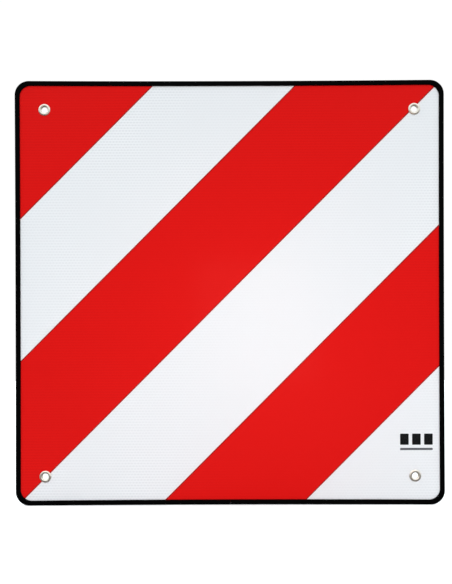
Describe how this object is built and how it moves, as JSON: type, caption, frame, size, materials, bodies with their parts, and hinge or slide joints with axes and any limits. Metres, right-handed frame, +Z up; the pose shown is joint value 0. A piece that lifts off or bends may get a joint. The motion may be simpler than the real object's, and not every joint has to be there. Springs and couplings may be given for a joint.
{
  "type": "rear load warning panel",
  "caption": "Flat square warning panel with diagonal red and white reflective stripes, black edge trim and an eyelet in each corner for hanging or bolting it on.",
  "frame": {"origin": "middle of the pattern of four eyelets, on the back face of the aluminium sheet", "axes": "the striped face looks along -Y; +Y leaves the back, square to the sheet; +X is to the right for someone reading the face; +Z is up"},
  "size_m": [0.4998, 0.0043, 0.4948],
  "materials": {
    "sheet_aluminium": "mill rolled, satin",
    "white_film": "glossy honeycomb reflective film",
    "red_film": "glossy transparent red over honeycomb film",
    "trim_rubber": "extruded, satin",
    "eyelet_nickel": "nickel plated",
    "washer_nickel": "nickel plated, dull",
    "mark_ink": "screen printed ink"
  },
  "bodies": {
    "root": {"backing_plate": "sheet_aluminium", "white_reflective_film": "white_film", "red_film_corner": "red_film", "red_film_centre": "red_film", "red_film_lower": "red_film", "edge_trim": "trim_rubber", "eyelet_top_left": "eyelet_nickel", "eyelet_top_right": "eyelet_nickel", "eyelet_bottom_left": "eyelet_nickel", "eyelet_bottom_right": "eyelet_nickel", "washer_top_left": "washer_nickel", "washer_top_right": "washer_nickel", "washer_bottom_left": "washer_nickel", "washer_bottom_right": "washer_nickel", "printed_mark": "mark_ink"}
  },
  "joints": []
}
